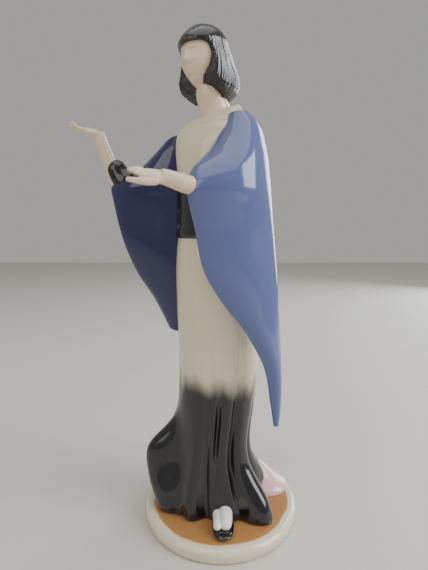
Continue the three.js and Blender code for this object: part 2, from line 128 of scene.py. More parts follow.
# level from the head's middle, half width, reach forwards, reach back
HAIR = np.array([
    (-22.6, 12.4, 8, 16), (-18, 16.6, 12, 21.6), (-12.3, 17.4, 14, 24), (-6.6, 16.6, 15, 22),
    (0.5, 15, 15.6, 18.4), (4.7, 14, 16.4, 16.2), (8.5, 13.2, 15.2, 14.2), (12.8, 10.8, 11.5, 11.4),
    (15.8, 6.8, 7.5, 7), (17, 2, 3, 2),
])
# the edge of what shows the face: forwards (negative) and level
FACE_OPENING = [(-40, 4.6), (-10, 4.6), (-7.4, 3.2), (-5.6, -1), (-5.4, -7), (-6.6, -12),
                (-4.6, -15.6), (-0.5, -18.4), (3.5, -21.6), (4.5, -26), (-40, -26)]

TRAIN = {"middle": (22.0, 16.0), "wide": 24.3, "deep": 20.0, "skew": 6.0}
TRAIN_RINGS = np.array([(1, 0), (0.96, 2.2), (0.84, 4.5), (0.6, 8), (0.25, 16)], float)


# ---------------------------------------------------------------- shape functions

def smooth_at(keys, values, t):
    """A smooth line through unevenly spaced keys, read at t."""
    keys, values = np.asarray(keys, float), np.asarray(values, float)
    t = np.clip(np.asarray(t, float), keys[0], keys[-1])
    slopes = np.empty_like(values)
    slopes[1:-1] = (values[2:] - values[:-2]) / (keys[2:] - keys[:-2])
    slopes[0] = (values[1] - values[0]) / (keys[1] - keys[0])
    slopes[-1] = (values[-1] - values[-2]) / (keys[-1] - keys[-2])
    i = np.clip(np.searchsorted(keys, t, side="right") - 1, 0, len(keys) - 2)
    span = keys[i + 1] - keys[i]
    u = (t - keys[i]) / span
    u2, u3 = u * u, u * u * u
    return ((2 * u3 - 3 * u2 + 1) * values[i] + (u3 - 2 * u2 + u) * span * slopes[i]
            + (3 * u2 - 2 * u3) * values[i + 1] + (u3 - u2) * span * slopes[i + 1])


def smooth_step(low, high, value):
    """0 below low, 1 above high, and a soft rise between."""
    share = np.clip((value - low) / (high - low), 0, 1)
    return share * share * (3 - 2 * share)


def hump(off, spread):
    return np.exp(-((off / spread) ** 2))


def turned(points, angle):
    """Points turned about +Z."""
    cos, sin = np.cos(angle), np.sin(angle)
    x, y = points[..., 0], points[..., 1]
    return np.stack([x * cos - y * sin, x * sin + y * cos, points[..., 2]], -1)


def unit(v):
    return v / np.linalg.norm(v, axis=-1, keepdims=True)


def fold_reach(level, compass):
    """How far the folds push the skirt outwards."""
    reach = 0
    for angle, spread, most, at, down, up in FOLDS:
        off = (compass - angle + 540) % 360 - 180
        height = np.where(level < at, (at - level) / down, (level - at) / up)
        reach = reach + most * hump(off, spread) * hump(height, 1)
    return reach


def body_at(angle, level, out, proud=0.0, folded=1.0):
    """The dressed body's skin at an angle round it and a level."""
    x, y, wide, deep, turn = (smooth_at(BODY[:, 0], BODY[:, i], level) for i in range(1, 6))
    reach = proud + folded * fold_reach(level, (np.degrees(angle) + turn) % 360)
    oval = np.stack([(wide + reach) * np.cos(angle), (deep + reach) * np.sin(angle), 0 * angle], -1)
    p = turned(oval * out[..., None], np.radians(turn))
    p += np.stack([x, y, level + 0 * angle], -1)
    slant = np.maximum(0, (level - COLLAR_LEVEL) / (BODY_TOP - COLLAR_LEVEL)) * COLLAR_SLOPE
    p[..., 2] += slant * (p[..., 0] * NECKLINE_BACK[0] + p[..., 1] * NECKLINE_BACK[1])
    return p


def sleeve_at(rows, angle, share, out):
    """A hanging sleeve's skin: the angle goes from the front edge (0) to the back edge and round."""
    keys = np.linspace(0, 1, len(rows))
    front, back = (np.stack([smooth_at(keys, rows[:, i + k], share) for i in range(3)], -1)
                   for k in (0, 3))
    thick, bulge = smooth_at(keys, rows[:, 6], share), smooth_at(keys, rows[:, 7], share)
    across = back - front
    normal = unit(np.stack([across[..., 1], -across[..., 0], 0 * share], -1))
    step = 0.5 - 0.5 * np.cos(angle) * out
    rounded = np.sign(np.sin(angle)) * np.abs(np.sin(angle)) ** SLEEVE_FULLNESS * out
    away = np.sin(np.pi * step) * bulge + rounded * thick / 2
    return front + across * step[..., None] + normal * away[..., None]


def limb_at(rows, angle, share, flat=1.0, flat_way=(0, 0, 1)):
    """A round-ended tube through points that each end in a radius."""
    rows = np.asarray(rows, float)
    keys = np.linspace(0, 1, len(rows))

    def middle(s):
        return np.stack([smooth_at(keys, rows[:, i], s) for i in range(3)], -1)

    length = np.linalg.norm(np.diff(rows[:, :3], axis=0), axis=1).sum()
    ahead = unit(middle(np.clip(share + 0.01, 0, 1)) - middle(np.clip(share - 0.01, 0, 1)))
    side = unit(np.cross(np.broadcast_to(unit(np.array(flat_way, float)), ahead.shape), ahead))
    up = np.cross(ahead, side)
    radius = smooth_at(keys, rows[:, 3], share)
    inward = 1 - np.clip(np.minimum(share, 1 - share) * length / radius, 0, 1)
    radius = radius * np.sqrt(np.maximum(0, 1 - inward ** 2))
    return (middle(share) + side * (radius * np.cos(angle))[..., None]
            + up * (radius * flat * np.sin(angle))[..., None])


# ---------------------------------------------------------------- making meshes

def bent_grid(name, across, rows, place):
    """A grid whose columns stand at the angles across, and whose rows are (share, out) pairs."""
    mesh = bpy.data.meshes.new(name)
    bm = bmesh.new()
    bmesh.ops.create_grid(bm, x_segments=len(across) - 1, y_segments=len(rows) - 1, size=1)
    bm.to_mesh(mesh)
    angle = np.tile(across, len(rows))
    share, out = np.repeat(np.asarray(rows, float), len(across), axis=0).T
    mesh.vertices.foreach_set("co", (place(angle, share, out) * MM).astype(np.float32).ravel())
    bm.clear()
    bm.from_mesh(mesh)
    bmesh.ops.remove_doubles(bm, verts=bm.verts, dist=1e-6)
    bmesh.ops.dissolve_degenerate(bm, edges=bm.edges, dist=1e-7)
    bmesh.ops.recalc_face_normals(bm, faces=bm.faces)
    bm.to_mesh(mesh)
    bm.free()
    return smooth_piece(name, mesh)


def smooth_piece(name, mesh):
    piece = bpy.data.objects.new(name, mesh)
    bpy.context.scene.collection.objects.link(piece)
    mesh.polygons.foreach_set("use_smooth", [True] * len(mesh.polygons))
    return piece


def round_angles(count, turns=1.0):
    return np.linspace(0, 2 * np.pi * turns, count + 1)


def capped(shares, steps=4):
    """Rows for a tube: both ends close to their middle."""
    first, last = shares[0], shares[-1]
    opening = [(first, (k / steps)) for k in range(steps)]
    return opening + [(s, 1.0) for s in shares] + [(last, k / steps) for k in reversed(range(steps))]


def tube(name, rows, around, along, flat=1.0, flat_way=(0, 0, 1)):
    """A round-ended limb as a closed piece, its rings closer together near the ends."""
    shares = 0.5 - 0.5 * np.cos(np.linspace(0, np.pi, along + 1))
    shares = [(s, 1.0) for s in shares]
    return bent_grid(name, round_angles(around), shares,
                     lambda a, s, out: limb_at(rows, a, s, flat, flat_way))


def joined(name, parts):
    """Several closed meshes in one object."""
    bm = bmesh.new()
    for part in parts:
        bm.from_mesh(part.data)
    mesh = bpy.data.meshes.new(name)
    bm.to_mesh(mesh)
    bm.free()
    for part in parts:
        bpy.data.meshes.remove(part.data)
    return smooth_piece(name, mesh)


def settled(piece):
    """The piece with its modifiers applied."""
    graph = bpy.context.evaluated_depsgraph_get()
    mesh = bpy.data.meshes.new_from_object(piece.evaluated_get(graph))
    mesh.polygons.foreach_set("use_smooth", [True] * len(mesh.polygons))
    piece.modifiers.clear()
    old, piece.data = piece.data, mesh
    bpy.data.meshes.remove(old)
    return piece


def melted(piece, voxel, smoothing):
    """The piece as one skin of even small faces, its inner corners softened."""
    remesh = piece.modifiers.new("melt", "REMESH")
    remesh.mode, remesh.voxel_size, remesh.use_smooth_shade = "VOXEL", voxel * MM, True
    soften = piece.modifiers.new("soften", "SMOOTH")
    soften.factor, soften.iterations = 0.5, smoothing
    return settled(piece)


def points_of(piece):
    """The piece's vertices, in millimetres."""
    flat = np.empty(len(piece.data.vertices) * 3, np.float32)
    piece.data.vertices.foreach_get("co", flat)
    return flat.reshape(-1, 3).astype(float) / MM


def move_points(piece, points):
    piece.data.vertices.foreach_set("co", (points * MM).astype(np.float32).ravel())
    piece.data.update()


def normals_of(piece):
    flat = np.empty(len(piece.data.vertices) * 3, np.float32)
    piece.data.vertices.foreach_get("normal", flat)
    return flat.reshape(-1, 3).astype(float)


# ---------------------------------------------------------------- where motifs are placed from

class PhotographView:
    """Places are pixels right and down, as in the photograph."""
    eye = np.array([-4.4, -246.5, 186.0])
    pitch = math.radians(8)
    focal = 395.0
    middle = (214.0, 285.0)
    forward = np.array([0.0, math.cos(pitch), -math.sin(pitch)])
    upward = np.array([0.0, math.sin(pitch), math.cos(pitch)])
    right = np.array([1.0, 0.0, 0.0])

    def ray(self, a, b):
        way = (self.forward * self.focal + self.right * (a - self.middle[0])
               - self.upward * (b - self.middle[1]))
        return self.eye, unit(way)

    def flatten(self, at):
        rel = at - self.eye
        depth = rel @ self.forward
        return np.stack([self.middle[0] + self.focal * (rel @ self.right) / depth,
                         self.middle[1] - self.focal * (rel @ self.upward) / depth], -1)

    def towards(self, at):
        return unit(self.eye - at)

    def size(self, at):
        """Millimetres to one step of this view's places."""
        return (at - self.eye) @ self.forward / self.focal


class SquareView:
    """Places are millimetres across and up, seen squarely from far off."""

    def __init__(self, across, way):
        self.across, self.way = np.array(across, float), np.array(way, float)

    def ray(self, a, b):
        return self.across * a + UP * b + self.way * 300, -self.way

    def flatten(self, at):
        return np.stack([at @ self.across, at[..., 2]], -1)

    def towards(self, at):
        return np.broadcast_to(self.way, at.shape)

    def size(self, at):
        return 1.0


PHOTO = PhotographView()
BEHIND = SquareView((-1, 0, 0), (0, 1, 0))
HER_LEFT = SquareView((0, 1, 0), (1, 0, 0))
HER_RIGHT = SquareView((0, -1, 0), (-1, 0, 0))


# ---------------------------------------------------------------- painting

FAR = 9.0


def tint(red, green, blue):
    """A colour given as it looks on a screen, 0 to 255, made linear."""
    c = np.array([red, green, blue]) / 255
    return np.where(c <= 0.04045, c / 12.92, ((c + 0.055) / 1.055) ** 2.4)


class Canvas:
    """One piece's surface, point by point: its place, its facing, its paint and its drawn lines."""

    def __init__(self, piece):
        self.piece = piece
        self.refresh()
        self.colour = np.zeros((len(self.at), 3))
        self.ink = np.tile(tint(30, 16, 20), (len(self.at), 1))
        self.line = np.full(len(self.at), FAR)

    def refresh(self):
        self.at = points_of(self.piece)
        self.faces = normals_of(self.piece)
        polygons = [tuple(p.vertices) for p in self.piece.data.polygons]
        self.tree = BVHTree.FromPolygons([Vector(p) for p in self.at], polygons)

    def spot(self, view, a, b):
        """Where a place of the view lies on the piece, and the surface's facing there."""
        start, way = view.ray(a, b)
        hit, normal, _, _ = self.tree.ray_cast(Vector(start), Vector(way))
        if hit is None:
            reach = np.linalg.norm(self.at.mean(0) - start)
            hit, normal, _, _ = self.tree.find_nearest(Vector(start + way * reach))
        normal = np.array(normal)
        if normal @ way > 0:
            normal = -normal
        return np.array(hit), normal

    def seen(self, view):
        """How squarely each point faces the view, from 0 at its outline."""
        towards = np.einsum("ij,ij->i", self.faces, view.towards(self.at))
        return smooth_step(0.0, 0.22, towards)

    def wash(self, view, a, b, wide, high, turn, colour, strength=1.0):
        """A soft-edged patch of sprayed colour."""
        off = view.flatten(self.at) - (a, b)
        cos, sin = math.cos(math.radians(turn)), math.sin(math.radians(turn))
        x = (off[:, 0] * cos + off[:, 1] * sin) / wide
        y = (off[:, 1] * cos - off[:, 0] * sin) / high
        weight = strength * np.exp(-((x * x + y * y) ** 1.4)) * self.seen(view)
        self.colour += (np.array(colour) - self.colour) * weight[:, None]

    def patch(self, view, corners, colour, soft=1.0, strength=1.0):
        """A filled outline of places, its edge soft by so many steps of the view."""
        flat = view.flatten(self.at)
        inside, edge = outline_distance(flat, np.array(corners, float))
        signed = np.where(inside, edge, -edge)
        weight = strength * smooth_step(-soft, soft, signed) * self.seen(view)
        self.colour += (np.array(colour) - self.colour) * weight[:, None]

    def petal(self, view, base, tip, width, inner, outer, ink=None, line=0.36, form="round", vein=0.12):
        """A petal or leaf from its base to its tip, shaded along it, with a drawn edge."""
        p0, n0 = self.spot(view, *base)
        p1, n1 = self.spot(view, *tip)
        normal = unit(n0 + n1)
        along = p1 - p0 - normal * ((p1 - p0) @ normal)
        length = max(0.6, np.linalg.norm(along))
        ahead = along / length
        aside = np.cross(normal, ahead)
        half = 0.5 * width * view.size(p0)
        rel = self.at - (p0 + p1) / 2
        s, t = rel @ ahead / (length / 2), rel @ aside / half
        near = ((np.abs(s) < 2.2) & (np.abs(t) < 2.4) & (self.faces @ normal > 0.2)
                & (np.abs(rel @ normal) < 2.5 + 0.35 * length))
        i = np.nonzero(near)[0]
        s, t = s[i], t[i]
        if form == "drop":
            t = t / np.clip(0.74 + 0.3 * s, 0.3, 1.2)
        elif form == "leaf":
            t = t / np.maximum(0.06, np.sqrt(np.clip(1 - s * s, 0, 1)) * 0.9 + 0.1)
        elif form == "heart":
            t = t / np.clip(0.78 + 0.3 * s, 0.3, 1.2)
            s = s + 0.22 * hump(t, 0.3) * np.clip(s, 0, 1)
        r = np.sqrt(s * s + t * t) + 1e-6
        slope = np.sqrt((s * 2 / length) ** 2 + (t / half) ** 2) / r
        signed = (1 - r) / slope
        inside = i[signed > 0]
        blend = smooth_step(-1, 1, s[signed > 0])[:, None]
        shade = np.array(inner) * (1 - blend) + np.array(outer) * blend
        streak = np.cos(t[signed > 0] * 9 + s[signed > 0]) * vein * (1 - blend[:, 0])
        self.colour[inside] = shade * (1 - np.maximum(0, streak))[:, None]
        if ink is None:
            self.line[inside] = FAR
            return
        distance = np.abs(signed) / line
        self.line[inside] = distance[signed > 0]
        outside = i[signed <= 0]
        self.line[outside] = np.minimum(self.line[outside], distance[signed <= 0])
        self.ink[i[distance < 4]] = ink

    def reach_of(self, view, places):
        """Each point's distance from a line of places, and how far along the line it is."""
        hits = [self.spot(view, a, b) for a, b in places]
        best, share = np.full(len(self.at), 1e3), np.zeros(len(self.at))
        for k in range(len(hits) - 1):
            (p0, n0), (p1, n1) = hits[k], hits[k + 1]
            way = p1 - p0
            span = way @ way + 1e-9
            u = np.clip((self.at - p0) @ way / span, 0, 1)
            off = np.linalg.norm(self.at - p0 - u[:, None] * way, axis=1)
            off = np.where(self.faces @ unit(n0 + n1) > 0.1, off, 1e3)
            nearer = off < best
            best[nearer], share[nearer] = off[nearer], ((k + u) / (len(hits) - 1))[nearer]
        return best, share

    def stroke(self, view, places, width, colour, soft=0.4, strength=1.0, taper=True):
        """A brush stroke along a line of places, thinning towards its ends."""
        off, share = self.reach_of(view, places)
        half = width / 2 * (np.sin(np.pi * np.clip(share, 0.04, 0.96)) ** 0.5 if taper else 1)
        weight = strength * (1 - smooth_step(half * (1 - soft), half * (1 + soft), off))
        self.colour += (np.array(colour) - self.colour) * weight[:, None]

    def contour(self, view, places, line, ink):
        """A drawn line."""
        off, _ = self.reach_of(view, places)
        self.line = np.minimum(self.line, off / line)
        self.ink[off < line * 4] = ink

    def groove(self, view, places, width, depth):
        """A crease pressed into the surface, or with a negative depth a ridge on it."""
        off, share = self.reach_of(view, places)
        fade = np.sin(np.pi * np.clip(share, 0, 1)) ** 0.6
        self.at = self.at - self.faces * (depth * fade * hump(off, width))[:, None]

    def press(self):
        """Puts moved points back on the piece."""
        move_points(self.piece, self.at)
        self.refresh()

    def save(self):
        mesh = self.piece.data
        for name, values in (("paint", self.colour), ("ink", self.ink)):
            layer = mesh.attributes.new(name, "FLOAT_COLOR", "POINT")
            rgba = np.concatenate([np.clip(values, 0, 1), np.ones((len(values), 1))], 1)
            layer.data.foreach_set("color", rgba.astype(np.float32).ravel())
        layer = mesh.attributes.new("line", "FLOAT", "POINT")
        layer.data.foreach_set("value", np.clip(self.line, 0, FAR).astype(np.float32))


def outline_distance(flat, corners):
    """Whether each place is inside a closed outline, and how far it is from it."""
    inside = np.zeros(len(flat), bool)
    best = np.full(len(flat), 1e9)
    x, y = flat[:, 0], flat[:, 1]
    for (x0, y0), (x1, y1) in zip(corners, np.roll(corners, -1, axis=0)):
        crosses = (y0 > y) != (y1 > y)
        at_x = x0 + (y - y0) * (x1 - x0) / (y1 - y0 if y1 != y0 else 1e-9)
        inside ^= crosses & (x < at_x)
        way = np.array([x1 - x0, y1 - y0])
        u = np.clip(((x - x0) * way[0] + (y - y0) * way[1]) / (way @ way + 1e-9), 0, 1)
        best = np.minimum(best, np.hypot(x - x0 - u * way[0], y - y0 - u * way[1]))
    return inside, best


def wander(at, scale, seed):
    """Smooth unevenness between about -1 and 1, from a few crossing waves."""
    rng = np.random.default_rng(seed)
    total = 0
    for k in range(6):
        way = rng.normal(size=3)
        way *= (0.6 + 0.25 * k) / (scale * np.linalg.norm(way))
        total = total + np.sin(at @ way * 2 * np.pi + rng.uniform(0, 6.28)) / (1 + 0.3 * k)
    return total / 2.2


def ring(canvas, view, centre, inner_reach, outer_reach, count, width, turn, inner, outer, ink,
         squash=1.0, lean=0.0, **how):
    """A ring of petals round a centre; squash and lean flatten it as a tilted flower."""
    cos, sin = math.cos(math.radians(lean)), math.sin(math.radians(lean))
    for k in range(count):
        angle = math.radians(turn + k * 360 / count)

        def place(reach):
            x, y = reach * math.cos(angle), reach * math.sin(angle) * squash
            return centre[0] + x * cos - y * sin, centre[1] + x * sin + y * cos

        canvas.petal(view, place(inner_reach), place(outer_reach), width, inner, outer, ink, **how)


# ---------------------------------------------------------------- shader groups and glazes

def node(tree, kind, **settings):
    made = tree.nodes.new(kind)
    for name, value in settings.items():
        setattr(made, name, value)
    return made


def fill(made, **values):
    for name, value in values.items():
        made.inputs[name.replace("_", " ")].default_value = value
    return made


def shader_group(name, inputs, outputs):
    """An empty group with named sockets, and its input and output nodes."""
    group = bpy.data.node_groups.new(name, "ShaderNodeTree")
    for socket, kind, value in inputs:
        made = group.interface.new_socket(name=socket, in_out="INPUT", socket_type=kind)
        made.default_value = value
    for socket, kind in outputs:
        group.interface.new_socket(name=socket, in_out="OUTPUT", socket_type=kind)
    return group, node(group, "NodeGroupInput"), node(group, "NodeGroupOutput")


def brushed_paint_group():
    """Uneven brushed colour under a drawn line."""
    group, given, result = shader_group(
        "brushed_paint",
        [("Paint", "NodeSocketColor", (0.8, 0.7, 0.6, 1)), ("Ink", "NodeSocketColor", (0.02, 0.01, 0.01, 1)),
         ("Line", "NodeSocketFloat", 9.0), ("Streaks", "NodeSocketFloat", 0.1),
         ("Grain", "NodeSocketFloat", 0.05)],
        [("Colour", "NodeSocketColor"), ("Enamel", "NodeSocketFloat")])
    link = group.links.new
    place = node(group, "ShaderNodeTexCoord")
    stretch = fill(node(group, "ShaderNodeMapping"), Scale=(900, 900, 90))
    link(place.outputs["Object"], stretch.inputs["Vector"])
    streak = fill(node(group, "ShaderNodeTexNoise"), Scale=1.0, Detail=3.0, Roughness=0.6)
    link(stretch.outputs[0], streak.inputs["Vector"])
    cloud = fill(node(group, "ShaderNodeTexNoise"), Scale=900.0, Detail=4.0, Roughness=0.65)
    link(place.outputs["Object"], cloud.inputs["Vector"])

    def around_one(noise, amount):
        centred = node(group, "ShaderNodeMath", operation="SUBTRACT")
        centred.inputs[1].default_value = 0.5
        link(noise.outputs["Fac"], centred.inputs[0])
        scaled = node(group, "ShaderNodeMath", operation="MULTIPLY_ADD")
        scaled.inputs[2].default_value = 1.0
        link(centred.outputs[0], scaled.inputs[0])
        link(given.outputs[amount], scaled.inputs[1])
        return scaled

    tone = node(group, "ShaderNodeMath", operation="MULTIPLY")
    link(around_one(streak, "Streaks").outputs[0], tone.inputs[0])
    link(around_one(cloud, "Grain").outputs[0], tone.inputs[1])
    toned = node(group, "ShaderNodeVectorMath", operation="SCALE")
    link(given.outputs["Paint"], toned.inputs[0])
    link(tone.outputs[0], toned.inputs["Scale"])
    wobble = fill(node(group, "ShaderNodeTexNoise"), Scale=1400.0, Detail=2.0)
    link(place.outputs["Object"], wobble.inputs["Vector"])
    shaky = node(group, "ShaderNodeMath", operation="MULTIPLY_ADD")
    shaky.inputs[1].default_value = 0.5
    link(wobble.outputs["Fac"], shaky.inputs[0])
    link(given.outputs["Line"], shaky.inputs[2])
    edge = node(group, "ShaderNodeMapRange", interpolation_type="SMOOTHSTEP")
    for socket, value in (("From Min", 0.7), ("From Max", 1.75), ("To Min", 1.0), ("To Max", 0.0)):
        edge.inputs[socket].default_value = value
    link(shaky.outputs[0], edge.inputs["Value"])
    drawn = node(group, "ShaderNodeMix", data_type="RGBA")
    link(edge.outputs[0], drawn.inputs["Factor"])
    link(toned.outputs[0], drawn.inputs["A"])
    link(given.outputs["Ink"], drawn.inputs["B"])
    link(drawn.outputs["Result"], result.inputs["Colour"])
    link(edge.outputs[0], result.inputs["Enamel"])
    return group


def glaze_surface_group():
    """The glaze's slow ripple and its pinholes, as a height, and the roughness over it."""
    group, given, result = shader_group(
        "glaze_surface",
        [("Enamel", "NodeSocketFloat", 0.0), ("Ripple", "NodeSocketFloat", 1.0),
         ("Gloss", "NodeSocketFloat", 0.12)],
        [("Height", "NodeSocketFloat"), ("Roughness", "NodeSocketFloat")])
    link = group.links.new
    place = node(group, "ShaderNodeTexCoord")
    slow = fill(node(group, "ShaderNodeTexNoise"), Scale=120.0, Detail=2.0)
    fine = fill(node(group, "ShaderNodeTexNoise"), Scale=1600.0, Detail=2.0)
    link(place.outputs["Object"], slow.inputs["Vector"])
    link(place.outputs["Object"], fine.inputs["Vector"])
    waves = node(group, "ShaderNodeMath", operation="MULTIPLY")
    link(slow.outputs["Fac"], waves.inputs[0])
    link(given.outputs["Ripple"], waves.inputs[1])
    grain = node(group, "ShaderNodeMath", operation="MULTIPLY_ADD")
    grain.inputs[1].default_value = 0.02
    link(fine.outputs["Fac"], grain.inputs[0])
    link(waves.outputs[0], grain.inputs[2])
    raised = node(group, "ShaderNodeMath", operation="MULTIPLY_ADD")
    raised.inputs[1].default_value = 0.12
    link(given.outputs["Enamel"], raised.inputs[0])
    link(grain.outputs[0], raised.inputs[2])
    link(raised.outputs[0], result.inputs["Height"])
    worn = node(group, "ShaderNodeMath", operation="MULTIPLY_ADD")
    worn.inputs[1].default_value = 0.08
    link(slow.outputs["Fac"], worn.inputs[0])
    link(given.outputs["Gloss"], worn.inputs[2])
    matter = node(group, "ShaderNodeMath", operation="MULTIPLY_ADD")
    matter.inputs[1].default_value = 0.1
    link(given.outputs["Enamel"], matter.inputs[0])
    link(worn.outputs[0], matter.inputs[2])
    link(matter.outputs[0], result.inputs["Roughness"])
    return group


BRUSHED_PAINT = brushed_paint_group()
GLAZE_SURFACE = glaze_surface_group()


def painted_glaze(name, streaks=0.1, grain=0.06, gloss=0.1, ripple=1.0):
    """Glossy glaze over what was painted on the piece's points."""
    material = bpy.data.materials.new(name)
    material.use_nodes = True
    tree = material.node_tree
    link = tree.links.new
    shader = tree.nodes["Principled BSDF"]
    fill(shader, IOR=1.5, Coat_Weight=0.5, Coat_Roughness=0.04)
    paint = node(tree, "ShaderNodeAttribute", attribute_name="paint")
    ink = node(tree, "ShaderNodeAttribute", attribute_name="ink")
    line = node(tree, "ShaderNodeAttribute", attribute_name="line")
    brushed = node(tree, "ShaderNodeGroup", node_tree=BRUSHED_PAINT)
    fill(brushed, Streaks=streaks, Grain=grain)
    link(paint.outputs["Color"], brushed.inputs["Paint"])
    link(ink.outputs["Color"], brushed.inputs["Ink"])
    link(line.outputs["Fac"], brushed.inputs["Line"])
    link(brushed.outputs["Colour"], shader.inputs["Base Color"])
    surface = node(tree, "ShaderNodeGroup", node_tree=GLAZE_SURFACE)
    fill(surface, Ripple=ripple, Gloss=gloss)
    link(brushed.outputs["Enamel"], surface.inputs["Enamel"])
    link(surface.outputs["Roughness"], shader.inputs["Roughness"])
    bump = fill(node(tree, "ShaderNodeBump"), Strength=0.35, Distance=0.00025)
    link(surface.outputs["Height"], bump.inputs["Height"])
    link(bump.outputs["Normal"], shader.inputs["Normal"])
    return material


def dress(piece, material, slot, *nodes):
    """Gives a finished piece its glaze and its body, and hides the CAD parts it stands for."""
    piece.data.materials.clear()
    piece.data.materials.append(material)
    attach(piece, "root")
    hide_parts(*nodes)


# ---------------------------------------------------------------- colours

CREAM = tint(222, 208, 180)
SKIN = tint(226, 203, 176)
BLACK = tint(18, 18, 22)
SOOT = tint(40, 42, 46)
COBALT = tint(52, 84, 165)
SMOKE_BLUE = tint(88, 100, 150)
LILAC_BLUE = tint(140, 152, 200)
NAVY = tint(28, 32, 78)
WHITE = tint(238, 236, 232)
MAROON = tint(48, 14, 20)
DUSK_PINK = tint(196, 128, 132)
PALE_PINK = tint(232, 188, 184)
CORAL = tint(218, 126, 110)
MAUVE = tint(166, 112, 140)
DARK_MAUVE = tint(96, 44, 66)
LEAF = tint(34, 66, 56)
PALE_LEAF = tint(150, 190, 160)
YELLOW = tint(212, 198, 92)
BROWN = tint(92, 60, 42)

PAINTED = painted_glaze("painted_glaze")
DARK = painted_glaze("dark_glaze", streaks=0.15, grain=0.1, gloss=0.06)
BISQUE = painted_glaze("skin_glaze", streaks=0.02, grain=0.03, gloss=0.16, ripple=0.6)


# ---------------------------------------------------------------- the skirt and the bodice

def front_dense(count_front, count_back, first=176, last=398):
    """Angles round the body, closer together on the side that faces the photograph."""
    front = np.linspace(first, last, count_front)
    back = np.linspace(last, first + 360, count_back + 1)[1:]
    return np.radians(np.concatenate([front, back]))


def hem_roll(level, radius=1.6):
    """How far the hem's edge is rounded in at a level."""
    up = np.clip(level - FLOOR, 0, radius)
    return -(radius - np.sqrt(np.maximum(0, radius ** 2 - (radius - up) ** 2)))


def make_skirt():
    levels = np.concatenate([FLOOR + np.array([0, 0.15, 0.5, 1.0, 1.6]), np.linspace(10.4, 150, 292)[0:],
                             np.linspace(150, 190, 44)[1:]])
    return bent_grid("skirt", front_dense(236, 40), capped(levels),
                     lambda a, level, out: body_at(a, level, out, hem_roll(level)))


def make_bodice():
    levels = np.concatenate([np.linspace(186, 246, 112), np.linspace(246, 257, 26)[1:]])
    return bent_grid("bodice", front_dense(200, 60, 190, 400), capped(levels), body_at)


def paint_skirt(skirt):
    canvas = Canvas(skirt)
    height = canvas.at[:, 2] + 4 * wander(canvas.at * (1, 1, 0.12), 9, 3)
    dark = 1 - smooth_step(84, 102, height)
    canvas.colour = CREAM * (1 - dark[:, None]) + BLACK * dark[:, None]
    canvas.save()


def paint_bodice(bodice):
    canvas = Canvas(bodice)
    canvas.colour[:] = CREAM
    canvas.save()


# ---------------------------------------------------------------- sleeves

def strip_angles(seen, hidden):
    """Angles round a sleeve: evenly spread over its face, closer at its two edges."""
    def half(count):
        s = np.linspace(0, 1, count + 1)
        return 0.45 * s * np.pi + 0.55 * np.arccos(1 - 2 * s)
    return np.concatenate([half(seen), np.pi + half(hidden)[1:]])


def make_left_sleeve():
    shares = np.linspace(0, 1, 405)
    return bent_grid("left_sleeve", strip_angles(150, 52), capped(shares),
                     lambda a, s, out: sleeve_at(LEFT_SLEEVE, a, s, out))


def make_right_sleeve():
    shares = np.linspace(0, 1, 260)
    return bent_grid("right_sleeve", strip_angles(130, 46), capped(shares),
                     lambda a, s, out: sleeve_at(RIGHT_SLEEVE, a, s, out))


def paint_left_sleeve(sleeve):
    canvas = Canvas(sleeve)
    canvas.colour[:] = SMOKE_BLUE
    canvas.save()


def paint_right_sleeve(sleeve):
    canvas = Canvas(sleeve)
    canvas.colour[:] = NAVY
    canvas.save()


# ---------------------------------------------------------------- head, hair and hands

def sharper(rows, taper):
    return [tuple(p) + (r,) for p, r in zip(rows, taper)]


def make_arm(name, arm):
    """Forearm, palm, fingers and thumb melted into one skin."""
    thumb = sharper(arm["thumb"], [FINGER_RADIUS * k for k in (1.9, 1.7, 1.35, 0.95)])
    parts = [tube("forearm", arm["forearm"], 40, 60),
             tube("palm", arm["palm"], 36, 40, arm["flat"], arm["faces"]),
             tube("thumb", thumb, 24, 40)]
    for line in arm["fingers"]:
        parts.append(tube("finger", sharper(line, [FINGER_RADIUS * k for k in (1.12, 1.0, 0.85)]), 20, 30))
    return melted(joined(name, parts), 0.32, 3)


def face_form(points):
    """Brow, eye hollows, nose, lips and chin, added to an egg-shaped head turned to the front."""
    x, y, z = (points[:, i].copy() for i in range(3))
    low = np.maximum(0, -z / FACE_HALF[2])
    x = x * (1 - 0.36 * low ** 1.6)
    front = smooth_step(2, 9, -y)
    side = np.abs(x)
    reach = 1.9 * hump(x, 1.6 + 0.9 * hump(z + 5.2, 2)) * hump(z + 4.6, 2.6) * (z > -4.6)
    reach = reach + 1.9 * hump(x, 2.3) * hump(z + 4.6, 1.5) * (z <= -4.6)
    reach += 0.5 * hump(x, 1.2) * hump(z + 0.5, 3)
    reach += 0.5 * hump(side - 1.9, 0.9) * hump(z + 5.5, 1.1)
    reach -= 1.0 * hump(side - 4.6, 3.0) * hump(z + 0.9, 2.2)
    reach += 0.55 * hump(side - 4.8, 2.4) * hump(z + 1.0, 1.1)
    reach += 0.5 * hump(side - 4.5, 3.2) * hump(z - 2.4, 1.4)
    reach += 0.8 * hump(x, 2.6) * hump(z + 9.0, 0.75) + 0.85 * hump(x, 2.2) * hump(z + 10.7, 0.8)
    reach -= 0.35 * hump(x, 3.2) * hump(z + 9.85, 0.3)
    reach -= 0.5 * hump(x, 3) * hump(z + 12.2, 0.9)
    reach += 1.0 * hump(x, 3.5) * hump(z + 14.3, 2.3)
    reach += 0.6 * hump(side - 6.5, 3) * hump(z + 5.5, 4)
    return np.stack([x, y - front * reach, z], -1)


def head_place(local):
    """From the head's own middle and facing to the figure."""
    return turned(np.asarray(local, float), HEAD_TURN) + HEAD_CENTRE


def head_local(at):
    return turned(at - HEAD_CENTRE, -HEAD_TURN)


